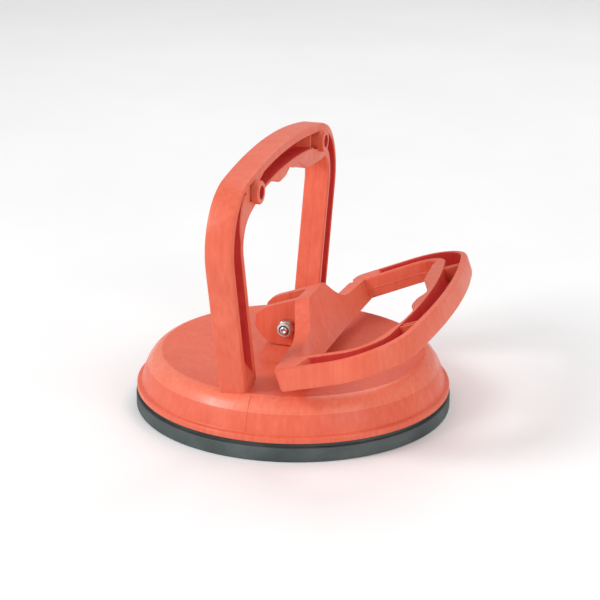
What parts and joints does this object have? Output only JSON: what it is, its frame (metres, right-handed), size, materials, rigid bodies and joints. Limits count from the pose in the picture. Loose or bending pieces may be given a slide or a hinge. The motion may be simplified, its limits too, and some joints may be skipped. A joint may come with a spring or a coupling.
{
  "type": "vacuum suction cup lifter",
  "caption": "Hand vacuum lifter: rubber pad under a round housing with a fixed loop handle, and a cam lever that pulls the pad's middle up to hold flat panels.",
  "frame": {"origin": "centre of the rubber pad's underside, the face that meets the panel", "axes": "+Z from the pad up through the housing to the handle; +X the way the released lever points; +Y along the hinge bolt, from nut to head"},
  "size_m": [0.1149, 0.122, 0.0952],
  "materials": {
    "handle_plastic": "satin orange-red injection moulding",
    "pad_rubber": "matt dark grey rubber",
    "plated_steel": "bright zinc-plated steel",
    "nylon_insert": "natural nylon"
  },
  "bodies": {
    "base": {"housing": "handle_plastic", "rubber_pad": "pad_rubber"},
    "stud": {"pull_stud": "plated_steel", "backing_plate": "plated_steel", "stud_nut": "plated_steel", "stud_washer": "plated_steel"},
    "lever": {"lever_handle": "handle_plastic", "hinge_bolt": "plated_steel", "hinge_nut": "plated_steel", "nut_lock_ring": "nylon_insert", "hinge_washer": "plated_steel", "hinge_sleeve": "plated_steel"}
  },
  "joints": [
    {"name": "stud_lift", "type": "slide", "parent": "base", "child": "stud", "axis": [0, 0, 1], "range_m": [0, 0.0045]},
    {"name": "lever_pivot", "type": "hinge", "parent": "stud", "child": "lever", "pos_m": [0, 0, 0.03], "axis": [0, -1, 0], "range_deg": [0, 71]}
  ],
  "couplings": [
    {"joint": "stud_lift", "follows": "lever_pivot", "m_per_rad": 0.003631}
  ]
}
